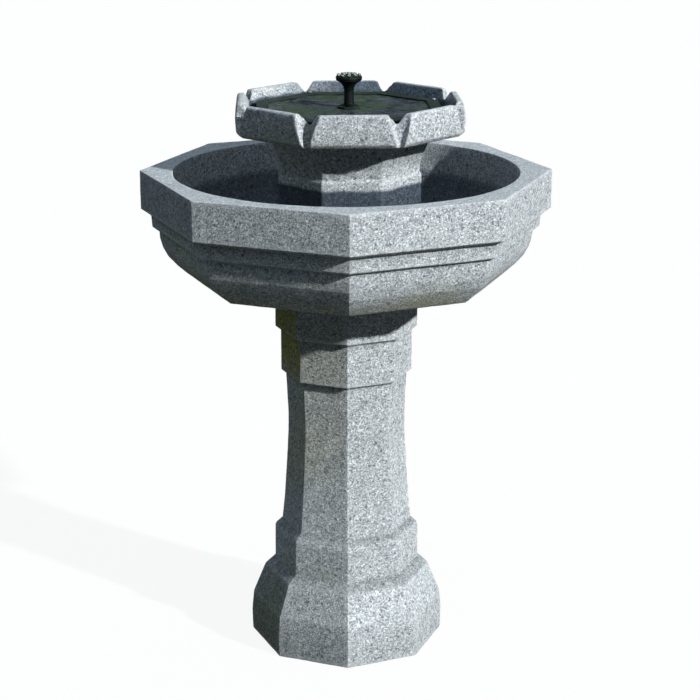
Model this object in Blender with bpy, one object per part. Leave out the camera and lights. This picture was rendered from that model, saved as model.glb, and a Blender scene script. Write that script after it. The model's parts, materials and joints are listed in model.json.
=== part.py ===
"""A two-tier garden fountain of cast stone with a solar submersible pump unit.

The pedestal carries an octagonal bowl. An octagonal upper tier stands in the bowl, and the pump
unit hangs in the tier: a solar panel in the tier's basin, a riser, a nozzle, and the pump below.
Metres, +Z up, origin under the middle of the pedestal. An octagon's corner points towards -Y.
"""

import math

import bmesh
import bpy
from mathutils import Matrix, Vector

MM = 0.001
GAP = 0.3 * MM  # between two pieces that touch
CORNERS = 8
TO_FACE = math.cos(math.pi / CORNERS)  # from an octagon's corner radius to its face distance
BASIN_SIDES = 64
FINE = 32  # sides of a large round
ROUND = 20  # sides of a small round
SMALL = 10  # sides of a screw or a pin
ALONG_Y = (-math.pi / 2, 0, 0)  # turns a piece made along +Z so that it runs along +Y
LAID_ALONG_Y = Matrix.Rotation(-math.pi / 2, 4, "X")

# Pedestal: corner radius and height of each level of the moulding
PEDESTAL_OUTSIDE = [
    (133.5, 0),
    (134.5, 30),
    (132, 58),
    (114.5, 100.5),
    (100.5, 111),
    (100, 158.5),
    (98.5, 162.5),
    (89.8, 169.5),
    (86.5, 205),
    (83, 254),
    (80.5, 300),
    (80.3, 326),
    (81.5, 352),
    (83, 384),
    (89.5, 387),
    (89.5, 445),
    (97, 449),
    (97, 521),
]
PEDESTAL_INSIDE = [
    (126, -1),
    (124.5, 52),
    (104, 92),
    (91.5, 108),
    (91, 152),
    (80, 172),
    (72, 254),
    (71, 380),
    (80, 394),
    (80, 444),
    (88, 456),
    (88, 509),
]
PEDESTAL_TOP = 521 * MM
SPIGOT_HOLE = 46 * MM
SPIGOT_RADIUS = 45 * MM
SPIGOT_WALL = 8 * MM
SPIGOT_DEPTH = 14 * MM

# Bowl
BOWL_BASE = PEDESTAL_TOP + GAP
BOWL_OUTSIDE = [
    (212, 521.3),
    (217.5, 525.5),
    (229, 535.5),
    (240, 547.5),
    (247, 560.5),
    (250.5, 573),
    (251.5, 584),
    (260.5, 588),
    (262, 606.5),
    (275, 612.5),
    (275, 665),
]
BOWL_INSIDE = [
    (120, 533),
    (158, 536),
    (186, 549),
    (205, 572),
    (218.5, 602),
    (226.5, 634),
    (231, 666),
]
BOWL_FLOOR = 533 * MM
LOCATOR_RADIUS = 82.5 * MM
LOCATOR_WALL = 5 * MM
LOCATOR_HEIGHT = 6 * MM

# Upper tier: neck and crown, set down by hand, a little turned and off the middle
TIER_TURN = math.radians(22.5 + 1.6)
TIER_SHIFT = 3.5 * MM
NECK_OUTSIDE = [(101.5, 533.3), (101.5, 665.5), (98.5, 670), (100, 683), (111, 710), (114, 720)]
CROWN_OUTSIDE = [(155.5, 719.5), (161, 725), (162.5, 741.5), (159.5, 762.5)]
NECK_INSIDE = [(94, 530), (94, 640), (90, 655), (90, 698), (84, 711)]
BASIN_INSIDE = [(138, 725.5), (141, 747.5), (150, 763.5)]
BASIN_FLOOR = 725.5 * MM
NOTCH_LINE = [(118, 749, 15), (143, 748, 18), (150, 716, 19), (170, 688, 21.5)]
NOTCH_TOP = 775 * MM
WELL_RADIUS = 52 * MM
COLLAR_WALL = 6 * MM
COLLAR_TOP = 734.5 * MM
INLET_HALF_WIDTH = 20 * MM
INLET_CORNER = 8 * MM
INLET_TOP = 572 * MM
INLET_FACES = (1, 5)

# Solar panel, an octagon lying in the crown's basin
TRAY_BOTTOM = COLLAR_TOP + 4.3 * MM
TRAY_FLOOR = 2 * MM
TRAY_RADIUS = 132 * MM
SEAT_RADIUS = 122 * MM  # where the window lies
CAVITY_RADIUS = 116 * MM
SEAT_LEVEL = TRAY_BOTTOM + 5.7 * MM
TRAY_TOP = SEAT_LEVEL + 3.2 * MM
HUB_RADIUS = 11 * MM
HUB_BORE = 5.9 * MM
HUB_DROP = 9 * MM  # how far the hub stands below the tray
HUB_CLEARANCE = 0.6 * MM
BEZEL_THICK = 1.8 * MM
WINDOW_THICK = 2 * MM
CELL = 28 * MM
CELL_PITCH = 29.5 * MM
CELLS_EACH_WAY = 3
BOX_CENTRE = 30 * MM  # the junction box, beside the riser
BOX_SIZE = (30 * MM, 30 * MM, 11 * MM)
LID_THICK = 2 * MM

# Riser and nozzle
RISER_RADIUS = 5.5 * MM
RISER_BORE = 4 * MM
RISER_JOIN = 655 * MM
RISER_TOP = 768 * MM
RISER_FOOT = 21 * MM  # above the pump's axis
NOZZLE_BASE = 751.5 * MM
NOZZLE_SEAM = 786 * MM

# Pump: everything round the impeller's axis, which runs along Y
PUMP_AXIS = 560 * MM
HOUSING_HALF_WIDTH = 20 * MM
HOUSING_HALF_HEIGHT = 19 * MM
HOUSING_FRONT = 6.3 * MM
HOUSING_BACK = 40 * MM
HOUSING_WALL = 2.2 * MM
ROTOR_WELL = 8.6 * MM
ROTOR_WELL_END = 31.5 * MM
CHAMBER_RADIUS = 13.8 * MM
SHAFT_RADIUS = 1 * MM
STRAINER_FRONT = -27 * MM
STRAINER_WALL = 1.8 * MM
VANES = 6
CABLE_RADIUS = 2.3 * MM
GLAND_Y = 29 * MM  # where the lead enters the motor


def clear_scene():
    for obj in list(bpy.data.objects):
        bpy.data.objects.remove(obj)


def finish(name, colour, roughness, metallic=0.0):
    """A Principled material of one colour."""
    made = bpy.data.materials.new(name)
    made.use_nodes = True
    shader = made.node_tree.nodes["Principled BSDF"]
    shader.inputs["Base Color"].default_value = (*colour, 1)
    shader.inputs["Roughness"].default_value = roughness
    shader.inputs["Metallic"].default_value = metallic
    made.diffuse_color = (*colour, 1)
    return made


def placed(name, mesh, look=None, location=(0, 0, 0), rotation=(0, 0, 0), parent=None):
    """An object of the mesh, in the scene. Without a look it is a helper."""
    obj = bpy.data.objects.new(name, mesh)
    bpy.context.scene.collection.objects.link(obj)
    obj.location = location
    obj.rotation_euler = rotation
    obj.parent = parent
    if look is None:
        obj.hide_render = True
        obj.display_type = "WIRE"
        return obj
    if not mesh.materials:
        mesh.materials.append(look)
        mesh.shade_smooth()
        mesh.set_sharp_from_angle(angle=math.radians(30))
    return obj


def copies(name, mesh, look, places, parent):
    """Numbered objects that share one mesh, one at each place."""
    for number, place in enumerate(places, 1):
        placed(f"{name}_{number}", mesh, look, parent=parent).matrix_local = place


def frame(name, location=(0, 0, 0), parent=None):
    """An empty that carries the pieces which move together."""
    empty = bpy.data.objects.new(name, None)
    bpy.context.scene.collection.objects.link(empty)
    empty.location = location
    empty.parent = parent
    return empty


def cut(obj, mesh, location=(0, 0, 0), rotation=(0, 0, 0), operation="DIFFERENCE"):
    """Cuts the mesh out of the object, in the object's own place."""
    tool = placed(f"{obj.name}_tool", mesh, location=location, rotation=rotation)
    tool.parent = obj.parent
    modifier = obj.modifiers.new(operation.title(), "BOOLEAN")
    modifier.operation = operation
    modifier.object = tool


def weld(obj, mesh, location=(0, 0, 0), rotation=(0, 0, 0)):
    cut(obj, mesh, location, rotation, "UNION")


def soften(obj, width, segments=2):
    bevel = obj.modifiers.new("Soften", "BEVEL")
    bevel.width = width
    bevel.segments = segments
    bevel.angle_limit = math.radians(40)


def mesh_from(bm, name="shape"):
    bmesh.ops.recalc_face_normals(bm, faces=bm.faces)
    mesh = bpy.data.meshes.new(name)
    bm.to_mesh(mesh)
    bm.free()
    return mesh


def level_ring(sides, radius, height, turn=0.0):
    """Corners of a level polygon, or one point on the axis. The first corner is towards -Y."""
    if radius == 0:
        return [Vector((0, 0, height))]
    angles = [turn + k * math.tau / sides for k in range(sides)]
    return [Vector((radius * math.sin(a), -radius * math.cos(a), height)) for a in angles]


def skin(rings, closed=False):
    """A mesh through rings of points, capped at both ends or closed on itself like a tyre."""
    bm = bmesh.new()
    loops = [[bm.verts.new(point) for point in ring] for ring in rings]
    pairs = list(zip(loops, loops[1:]))
    if closed:
        pairs.append((loops[-1], loops[0]))
    for lower, upper in pairs:
        count = max(len(lower), len(upper))
        for k in range(count):
            corners = [lower[k % len(lower)], lower[(k + 1) % len(lower)]]
            corners += [upper[(k + 1) % len(upper)], upper[k % len(upper)]]
            bm.faces.new(dict.fromkeys(corners))
    if not closed:
        for loop in (loops[0], loops[-1]):
            if len(loop) > 2:
                bm.faces.new(loop)
    return mesh_from(bm)


def turned(outline, sides=ROUND, turn=0.0):
    """A solid turned about Z from (radius, height) points."""
    return skin([level_ring(sides, r, z, turn) for r, z in outline])


def tube(outline, sides=ROUND, turn=0.0):
    """A ring-shaped solid turned about Z from a closed outline of (radius, height) points."""
    return skin([level_ring(sides, r, z, turn) for r, z in outline], closed=True)


def plain_tube(inner, outer, low, high, sides=ROUND, turn=0.0):
    return tube([(inner, low), (outer, low), (outer, high), (inner, high)], sides, turn)


def rod(radius, low, high, sides=ROUND, turn=0.0):
    return turned([(radius, low), (radius, high)], sides, turn)


def octagonal(outline, turn=0.0):
    """A solid with eight faces from (corner radius, height) points in millimetres."""
    return turned([(r * MM, z * MM) for r, z in outline], CORNERS, turn)


def box(low, high):
    """A block between two corners."""
    low, high = Vector(low), Vector(high)
    bm = bmesh.new()
    place = Matrix.Translation((low + high) / 2) @ Matrix.Diagonal((*(high - low), 1))
    bmesh.ops.create_cube(bm, size=1, matrix=place)
    return mesh_from(bm)


def prism(outline, low, high):
    """A solid from a flat outline of (x, y) points, standing from low to high."""
    return skin([[Vector((x, y, z)) for x, y in outline] for z in (low, high)])


def group(pairs):
    """One tool mesh of several separate solids, from (mesh, matrix) pairs."""
    bm = bmesh.new()
    for mesh, matrix in pairs:
        start = len(bm.verts)
        bm.from_mesh(mesh)
        bm.verts.ensure_lookup_table()
        bmesh.ops.transform(bm, matrix=matrix, verts=bm.verts[start:])
    return mesh_from(bm)


def at(x=0.0, y=0.0, z=0.0):
    return Matrix.Translation((x, y, z))


def about_z(angle):
    return Matrix.Rotation(angle, 4, "Z")


def bent_tube(name, points, radius, look, parent):
    """A cable along a smooth curve through the points, as a POLY spline with filled caps."""
    steps = 4
    line = []
    for k in range(len(points) - 1):
        before = points[max(k - 1, 0)]
        start, end = points[k], points[k + 1]
        after = points[min(k + 2, len(points) - 1)]
        for i in range(steps):
            t = i / steps
            pull_in = (end - before) * 0.5
            pull_out = (after - start) * 0.5
            line.append(
                start * (2 * t**3 - 3 * t**2 + 1)
                + pull_in * (t**3 - 2 * t**2 + t)
                + end * (3 * t**2 - 2 * t**3)
                + pull_out * (t**3 - t**2)
            )
    line.append(points[-1])
    curve = bpy.data.curves.new(name, "CURVE")
    curve.dimensions = "3D"
    curve.bevel_depth = radius
    curve.bevel_resolution = 2
    curve.use_fill_caps = True
    spline = curve.splines.new("POLY")
    spline.points.add(len(line) - 1)
    for point, place in zip(spline.points, line):
        point.co = (*place, 1)
    curve.materials.append(look)
    obj = bpy.data.objects.new(name, curve)
    bpy.context.scene.collection.objects.link(obj)
    obj.parent = parent


def pan_screw(head, shank, length):
    """A screw with its head's underside at 0 and the shank going down."""
    head_height = head * 0.7
    outline = [
        (0, -length),
        (shank, -length),
        (shank, 0),
        (head, 0),
        (head, head_height * 0.5),
        (head * 0.7, head_height),
        (0, head_height),
    ]
    return turned(outline, SMALL)


def build_pedestal(look):
    """A hollow stone column with an open foot and a round hole in its top plate."""
    pedestal = placed("pedestal", octagonal(PEDESTAL_OUTSIDE), look["stone"])
    cut(pedestal, octagonal(PEDESTAL_INSIDE))
    cut(pedestal, rod(SPIGOT_HOLE, PEDESTAL_TOP - 20 * MM, PEDESTAL_TOP + 1 * MM, FINE))


def build_bowl(look, parent):
    """The lower bowl: eight faces outside, a round basin, and a spigot that drops in the pedestal."""
    bowl = placed("bowl", octagonal(BOWL_OUTSIDE), look["stone"], parent=parent)
    cut(bowl, turned([(r * MM, z * MM) for r, z in BOWL_INSIDE], BASIN_SIDES))
    spigot = plain_tube(
        SPIGOT_RADIUS - SPIGOT_WALL,
        SPIGOT_RADIUS,
        BOWL_BASE - SPIGOT_DEPTH,
        BOWL_BASE + 4 * MM,
        FINE,
    )
    weld(bowl, spigot)
    locator = plain_tube(
        LOCATOR_RADIUS - LOCATOR_WALL,
        LOCATOR_RADIUS,
        BOWL_FLOOR - 2 * MM,
        BOWL_FLOOR + LOCATOR_HEIGHT,
        FINE,
    )
    weld(bowl, locator)


def notch_shape():
    """The wedge that opens a spout through a corner of the crown, made towards -Y.

    Each section is a V: a point at the bottom and two at the top. The V runs level through the
    wall, then drops steeply down the outside to the crown's lower edge.
    """
    rings = []
    for distance, bottom, half_width in NOTCH_LINE:
        y, half = -distance * MM, half_width * MM
        tops = [Vector((half, y, NOTCH_TOP)), Vector((-half, y, NOTCH_TOP))]
        rings.append([Vector((0, y, bottom * MM)), *tops])
    return skin(rings)


def build_tier(look, parent):
    """The upper tier, one hollow casting: a neck, and a crown with a basin and eight spouts."""
    tier = placed("upper_tier", octagonal(NECK_OUTSIDE, TIER_TURN), look["stone"], parent=parent)
    weld(tier, octagonal(CROWN_OUTSIDE, TIER_TURN))
    cut(tier, octagonal(NECK_INSIDE, TIER_TURN))
    cut(tier, octagonal(BASIN_INSIDE, TIER_TURN))
    weld(tier, rod(WELL_RADIUS + COLLAR_WALL, BASIN_FLOOR - 4 * MM, COLLAR_TOP, FINE))
    cut(tier, rod(WELL_RADIUS, BASIN_FLOOR - 30 * MM, COLLAR_TOP + 5 * MM, FINE))
    steps = [TIER_TURN + k * math.tau / CORNERS for k in range(CORNERS)]
    cut(tier, group([(notch_shape(), about_z(step)) for step in steps]))
    foot = BOWL_FLOOR - 8 * MM
    arch = [
        (-INLET_HALF_WIDTH, foot),
        (INLET_HALF_WIDTH, foot),
        (INLET_HALF_WIDTH, INLET_TOP - INLET_CORNER),
        (INLET_HALF_WIDTH - INLET_CORNER, INLET_TOP),
        (INLET_CORNER - INLET_HALF_WIDTH, INLET_TOP),
        (-INLET_HALF_WIDTH, INLET_TOP - INLET_CORNER),
    ]
    doorway = skin([[Vector((x, y * MM, z)) for x, z in arch] for y in (-115, -70)])
    faces = [TIER_TURN + (k + 0.5) * math.tau / CORNERS for k in INLET_FACES]
    cut(tier, group([(doorway, about_z(face)) for face in faces]))


def octagon_plate(outer, inner, low, high):
    """A flat octagonal ring lined up with the tier."""
    return plain_tube(inner, outer, low, high, CORNERS, TIER_TURN)


def build_tray(look, parent):
    """The panel's housing: a shallow octagonal tray with a hub, feet and a junction box below."""
    outside = [(TRAY_RADIUS, TRAY_BOTTOM), (TRAY_RADIUS, TRAY_TOP)]
    tray = placed("panel_tray", turned(outside, CORNERS, TIER_TURN), look["black"], parent=parent)
    cavity = [(CAVITY_RADIUS, TRAY_BOTTOM + TRAY_FLOOR), (CAVITY_RADIUS, TRAY_TOP + 1 * MM)]
    cut(tray, turned(cavity, CORNERS, TIER_TURN))
    seat = [(SEAT_RADIUS, SEAT_LEVEL), (SEAT_RADIUS, TRAY_TOP + 1 * MM)]
    cut(tray, turned(seat, CORNERS, TIER_TURN))
    weld(tray, rod(HUB_RADIUS, TRAY_BOTTOM - HUB_DROP, TRAY_TOP + 2 * MM))
    box_foot = TRAY_BOTTOM - BOX_SIZE[2]
    weld(tray, junction_block(0, box_foot, TRAY_BOTTOM + 1 * MM))
    cut(tray, junction_block(HOUSING_WALL, box_foot - 1 * MM, TRAY_BOTTOM - 0.5 * MM))
    wire_hole = rod(2.5 * MM, TRAY_BOTTOM - 2 * MM, TRAY_BOTTOM + 4 * MM, SMALL)
    cut(tray, wire_hole, location=(BOX_CENTRE, 0, 0))
    foot = box((-6 * MM, -4 * MM, BASIN_FLOOR + GAP), (6 * MM, 4 * MM, TRAY_BOTTOM + 1 * MM))
    reach = TRAY_RADIUS * TO_FACE - 6 * MM
    steps = [TIER_TURN + (2 * k + 0.5) * math.tau / CORNERS for k in range(4)]
    weld(tray, group([(foot, about_z(step) @ at(y=-reach)) for step in steps]))
    screw_hole = rod(1.8 * MM, SEAT_LEVEL - 2.5 * MM, TRAY_TOP + 1 * MM, SMALL)
    cut(tray, group([(screw_hole, place) for place in bezel_places()]))
    cut(tray, rod(HUB_BORE, TRAY_BOTTOM - HUB_DROP - 3 * MM, TRAY_TOP + 4 * MM))


def junction_block(inset, low, high):
    """A block with the junction box's outline, or one drawn in by the inset."""
    half_x, half_y = BOX_SIZE[0] / 2 - inset, BOX_SIZE[1] / 2 - inset
    return box((BOX_CENTRE - half_x, -half_y, low), (BOX_CENTRE + half_x, half_y, high))


def bezel_places():
    """The panel's screws, one near every second corner."""
    reach = (TRAY_RADIUS + SEAT_RADIUS) / 2 - 0.6 * MM
    return [about_z(TIER_TURN + k * math.tau / 4) @ at(y=-reach) for k in range(4)]


def build_cells(look, parent, low):
    """An eight-sided field of solar cells: strings side by side, joined by two ribbons."""
    lined_up = {"rotation": (0, 0, TIER_TURN + math.pi / CORNERS)}
    high = low + 0.6 * MM
    strings = []
    for column in range(-CELLS_EACH_WAY, CELLS_EACH_WAY + 1):
        rows = min(CELLS_EACH_WAY, CELLS_EACH_WAY + 1 - abs(column))
        half = rows * CELL_PITCH + CELL / 2
        string = box((-CELL / 2, -half, low), (CELL / 2, half, high))
        strings.append((string, at(column * CELL_PITCH)))
    cells = placed("solar_cells", group(strings), look["cell"], parent=parent, **lined_up)
    half = CELLS_EACH_WAY * CELL_PITCH
    ribbon = box((-half, -1.2 * MM, low + 0.1 * MM), (half, 1.2 * MM, high - 0.1 * MM))
    weld(cells, group([(ribbon, at(y=side * CELL_PITCH)) for side in (-1, 1)]), **lined_up)
    cut(cells, rod(HUB_RADIUS + HUB_CLEARANCE, low - 1 * MM, high + 1 * MM))


def build_panel(look, parent):
    """What lies in the tray: board, solar cells, gasket, window, bezel, screws and hub nut."""
    board_top = TRAY_BOTTOM + TRAY_FLOOR + 1.5 * MM
    board_radius = CAVITY_RADIUS - 1.5 * MM
    hub_hole = HUB_RADIUS + HUB_CLEARANCE
    board = turned(
        [(board_radius, board_top - 1.2 * MM), (board_radius, board_top)],
        CORNERS,
        TIER_TURN,
    )
    solar_board = placed("solar_board", board, look["board"], parent=parent)
    cut(solar_board, rod(hub_hole, board_top - 5 * MM, board_top + 5 * MM))
    build_cells(look, parent, board_top + GAP)

    gasket_low = SEAT_LEVEL + GAP
    gasket_high = gasket_low + 0.7 * MM
    gasket = octagon_plate(SEAT_RADIUS - 0.8 * MM, CAVITY_RADIUS, gasket_low, gasket_high)
    placed("window_gasket", gasket, look["rubber"], parent=parent)
    window_low = gasket_high + GAP
    window_high = window_low + WINDOW_THICK
    window_radius = SEAT_RADIUS - 0.6 * MM
    pane = turned([(window_radius, window_low), (window_radius, window_high)], CORNERS, TIER_TURN)
    window = placed("panel_window", pane, look["clear"], parent=parent)
    cut(window, rod(hub_hole, window_low - 1 * MM, window_high + 2 * MM))

    bezel_low = max(TRAY_TOP, window_high) + GAP
    bezel_high = bezel_low + BEZEL_THICK
    ring = octagon_plate(TRAY_RADIUS, CAVITY_RADIUS - 1 * MM, bezel_low, bezel_high)
    bezel = placed("panel_bezel", ring, look["black"], parent=parent)
    hole = rod(1.8 * MM, bezel_low - 1 * MM, bezel_high + 1 * MM, SMALL)
    cut(bezel, group([(hole, place) for place in bezel_places()]))
    screw = pan_screw(2.7 * MM, 1.4 * MM, 6 * MM)
    lift = at(z=bezel_high + GAP)
    copies("bezel_screw", screw, look["steel"], [place @ lift for place in bezel_places()], parent)

    nut_low = window_high + GAP
    nut = rod(HUB_RADIUS + 5 * MM, nut_low, nut_low + 2.6 * MM, CORNERS, TIER_TURN)
    hub_nut = placed("hub_nut", nut, look["black"], parent=parent)
    cut(hub_nut, rod(HUB_RADIUS + GAP, nut_low - 1 * MM, nut_low + 4 * MM))


def build_junction(look, parent):
    """The driver board in its box under the tray, the lid, and the cable's strain relief."""
    floor = TRAY_BOTTOM - BOX_SIZE[2]
    board_top = floor + 6.4 * MM
    board = junction_block(HOUSING_WALL + 0.5 * MM, board_top - 1.4 * MM, board_top)
    placed("driver_board", board, look["board"], parent=parent)
    top = board_top + GAP
    side = 6 * MM
    chip = box((-3 * MM, -2.5 * MM, 0), (3 * MM, 2.5 * MM, 1.6 * MM))
    placed("driver_chip", chip, look["dark"], (BOX_CENTRE - side, -5 * MM, top), parent=parent)
    bobbin = [(4, 0), (4, 0.8), (2.4, 0.8), (2.4, 2), (4, 2), (4, 2.8)]
    coil = turned([(r * MM, z * MM) for r, z in bobbin])
    placed("driver_inductor", coil, look["dark"], (BOX_CENTRE + side, 4 * MM, top), parent=parent)
    beaded = [(2.4, 0), (2.4, 0.6), (2.1, 0.9), (2.4, 1.2), (2.4, 3)]
    can = turned([(r * MM, z * MM) for r, z in beaded], SMALL)
    placed("driver_capacitor", can, look["steel"], (BOX_CENTRE - side, 5 * MM, top), parent=parent)
    lid_low = floor - GAP - LID_THICK
    cover = junction_block(0, lid_low, floor - GAP)
    lid = placed("junction_lid", cover, look["black"], parent=parent)
    hole = rod(CABLE_RADIUS + 0.5 * MM, lid_low - 3 * MM, floor + 2 * MM, SMALL)
    cut(lid, hole, location=(BOX_CENTRE, 0, 0))
    relief = strain_relief(14 * MM)
    place = (BOX_CENTRE, 0, lid_low - GAP)
    placed("panel_strain_relief", relief, look["rubber"], place, (math.pi, 0, 0), parent)


def strain_relief(length):
    """A tapered, ribbed sleeve round the cable, its wide end at 0."""
    bore = CABLE_RADIUS + 0.4 * MM
    flange = 2.5 * MM
    outline = [(bore, 0), (5.2 * MM, 0), (5.2 * MM, flange)]
    ribs = 2
    for k in range(ribs):
        low = flange + (length - flange) * k / ribs
        high = low + (length - flange) / ribs
        wide = 4.4 * MM - 0.5 * MM * k
        neck = wide - 0.8 * MM
        outline += [(neck, low + 0.3 * MM), (neck, low + 1.2 * MM)]
        outline += [(wide, low + 1.8 * MM), (wide, high)]
    outline.append((bore, length))
    return tube(outline, SMALL)


def build_riser(look, parent):
    """Two lengths of pipe from the pump to the nozzle, their sleeve, and the hub's nut and seals."""
    lower = plain_tube(RISER_BORE, RISER_RADIUS, PUMP_AXIS + RISER_FOOT, RISER_JOIN - GAP / 2)
    placed("riser_lower", lower, look["black"], parent=parent)
    upper = plain_tube(RISER_BORE, RISER_RADIUS, RISER_JOIN + GAP / 2, RISER_TOP)
    placed("riser_upper", upper, look["black"], parent=parent)
    fit = RISER_RADIUS + GAP
    sleeve = tube(
        [
            (fit, RISER_JOIN - 16 * MM),
            (7.4 * MM, RISER_JOIN - 16 * MM),
            (8.2 * MM, RISER_JOIN - 14 * MM),
            (8.2 * MM, RISER_JOIN + 14 * MM),
            (7.4 * MM, RISER_JOIN + 16 * MM),
            (fit, RISER_JOIN + 16 * MM),
        ]
    )
    placed("riser_sleeve", sleeve, look["black"], parent=parent)
    washer_top = TRAY_BOTTOM - HUB_DROP - GAP
    washer_low = washer_top - 2 * MM
    washer = plain_tube(fit, 9 * MM, washer_low, washer_top)
    placed("riser_seal", washer, look["rubber"], parent=parent)
    nut_top = washer_low - GAP
    hexagon = rod(11.5 * MM, nut_top - 7 * MM, nut_top, 6)
    nut = placed("riser_nut", hexagon, look["black"], parent=parent)
    cut(nut, rod(fit, nut_top - 9 * MM, nut_top + 1 * MM))
    seal_low = COLLAR_TOP + GAP
    seal_high = TRAY_BOTTOM - GAP
    middle = (seal_low + seal_high) / 2
    seal = tube(
        [
            (WELL_RADIUS + 0.6 * MM, middle),
            (WELL_RADIUS + 1.6 * MM, seal_low),
            (WELL_RADIUS + 4.4 * MM, seal_low),
            (WELL_RADIUS + 5.4 * MM, middle),
            (WELL_RADIUS + 4.4 * MM, seal_high),
            (WELL_RADIUS + 1.6 * MM, seal_high),
        ],
        FINE,
    )
    placed("basin_seal", seal, look["rubber"], parent=parent)


def build_nozzle(look, parent):
    """The spray head: a trumpet-shaped body that pushes on to the riser, and a pierced rose."""
    bore = RISER_RADIUS + 0.35 * MM
    grip = 7.2 * MM
    socket = [
        (bore, NOZZLE_BASE),
        (grip, NOZZLE_BASE),
        (grip, NOZZLE_BASE + 3 * MM),
        (6.7 * MM, NOZZLE_BASE + 4 * MM),
    ]
    trumpet = [(6.4, -13.5), (7.1, -9), (8.5, -6.7), (10.5, -4.2), (14, -2.2), (16.6, -1.2), (17, 0)]
    throat = [(14.5, 0), (12.5, -1), (9, -3.2), (6.6, -6.4), (5.1, -10.5), (4.4, -15)]
    walls = [(r * MM, NOZZLE_SEAM + z * MM) for r, z in trumpet + throat]
    stop = [(4.4 * MM, RISER_TOP + 1.5 * MM), (bore, RISER_TOP + 0.8 * MM)]
    placed("nozzle_body", tube(socket + walls + stop), look["black"], parent=parent)
    seam = NOZZLE_SEAM + GAP
    dome = [(14.5, 0), (17.2, 0.2), (17.3, 1.2), (16.4, 2.8), (13.8, 5), (10, 6.9), (5.6, 7.9)]
    dome += [(2, 8.2), (2, 6.3), (6, 5.9), (9.8, 4.7), (13, 2.6)]
    shell = tube([(r * MM, seam + z * MM) for r, z in dome])
    rose = placed("nozzle_rose", shell, look["black"], parent=parent)
    drill = rod(0.9 * MM, -6 * MM, 6 * MM, 6)
    jets = []
    for count, radius, height, lean in ((10, 13.2, 4.4, 0.75), (5, 7.2, 6.9, 0.25)):
        for k in range(count):
            spot = about_z(k * math.tau / count) @ at(y=-radius * MM, z=seam + height * MM)
            jets.append((drill, spot @ Matrix.Rotation(lean, 4, "X")))
    cut(rose, group(jets))


def pump_piece(name, mesh, look, parent, along_y=True):
    """A piece of the pump; a turned one is made along Z and laid along Y."""
    rotation = ALONG_Y if along_y else (0, 0, 0)
    return placed(name, mesh, look, rotation=rotation, parent=parent)


def build_housing(look, parent):
    """The motor's casing: an open-backed box with the rotor's well standing in it."""
    wide, high = HOUSING_HALF_WIDTH, HOUSING_HALF_HEIGHT
    outer = box((-wide, HOUSING_FRONT, -high), (wide, HOUSING_BACK, high))
    housing = pump_piece("motor_housing", outer, look["black"], parent, along_y=False)
    soften(housing, 3 * MM, 1)
    wall = HOUSING_WALL
    room = box(
        (wall - wide, HOUSING_FRONT + 3.2 * MM, wall - high),
        (wide - wall, HOUSING_BACK + 5 * MM, high - wall),
    )
    cut(housing, room)
    well = rod(ROTOR_WELL + 1.4 * MM, HOUSING_FRONT + 2 * MM, ROTOR_WELL_END + 1.5 * MM)
    weld(housing, well, rotation=ALONG_Y)
    post = rod(3.2 * MM, HOUSING_FRONT + 2 * MM, HOUSING_BACK, SMALL)
    weld(housing, group([(post, place) for place in back_screw_places()]), rotation=ALONG_Y)
    thread = rod(1.5 * MM, HOUSING_BACK - 12 * MM, HOUSING_BACK + 2 * MM, SMALL)
    cut(housing, group([(thread, place) for place in back_screw_places()]), rotation=ALONG_Y)
    cut(housing, rod(ROTOR_WELL, HOUSING_FRONT - 1 * MM, ROTOR_WELL_END), rotation=ALONG_Y)
    groove = plain_tube(14.2 * MM, 16.6 * MM, HOUSING_FRONT - 1 * MM, HOUSING_FRONT + 1.9 * MM)
    cut(housing, groove, rotation=ALONG_Y)
    gland_hole = rod(CABLE_RADIUS + 0.4 * MM, high - 5 * MM, high + 2 * MM, SMALL)
    cut(housing, gland_hole, location=(0, GLAND_Y, 0))
    socket = plain_tube(4 * MM, 5.2 * MM, -high - 3 * MM, -high + 1 * MM, SMALL)
    weld(housing, group([(socket, place) for place in cup_places()]))


def back_screw_places():
    return [at(x * 14.9 * MM, z * 13.9 * MM) for x in (-1, 1) for z in (-1, 1)]


def cup_places():
    return [at(x * 12 * MM, y) for x in (-1, 1) for y in (13 * MM, 33 * MM)]


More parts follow.
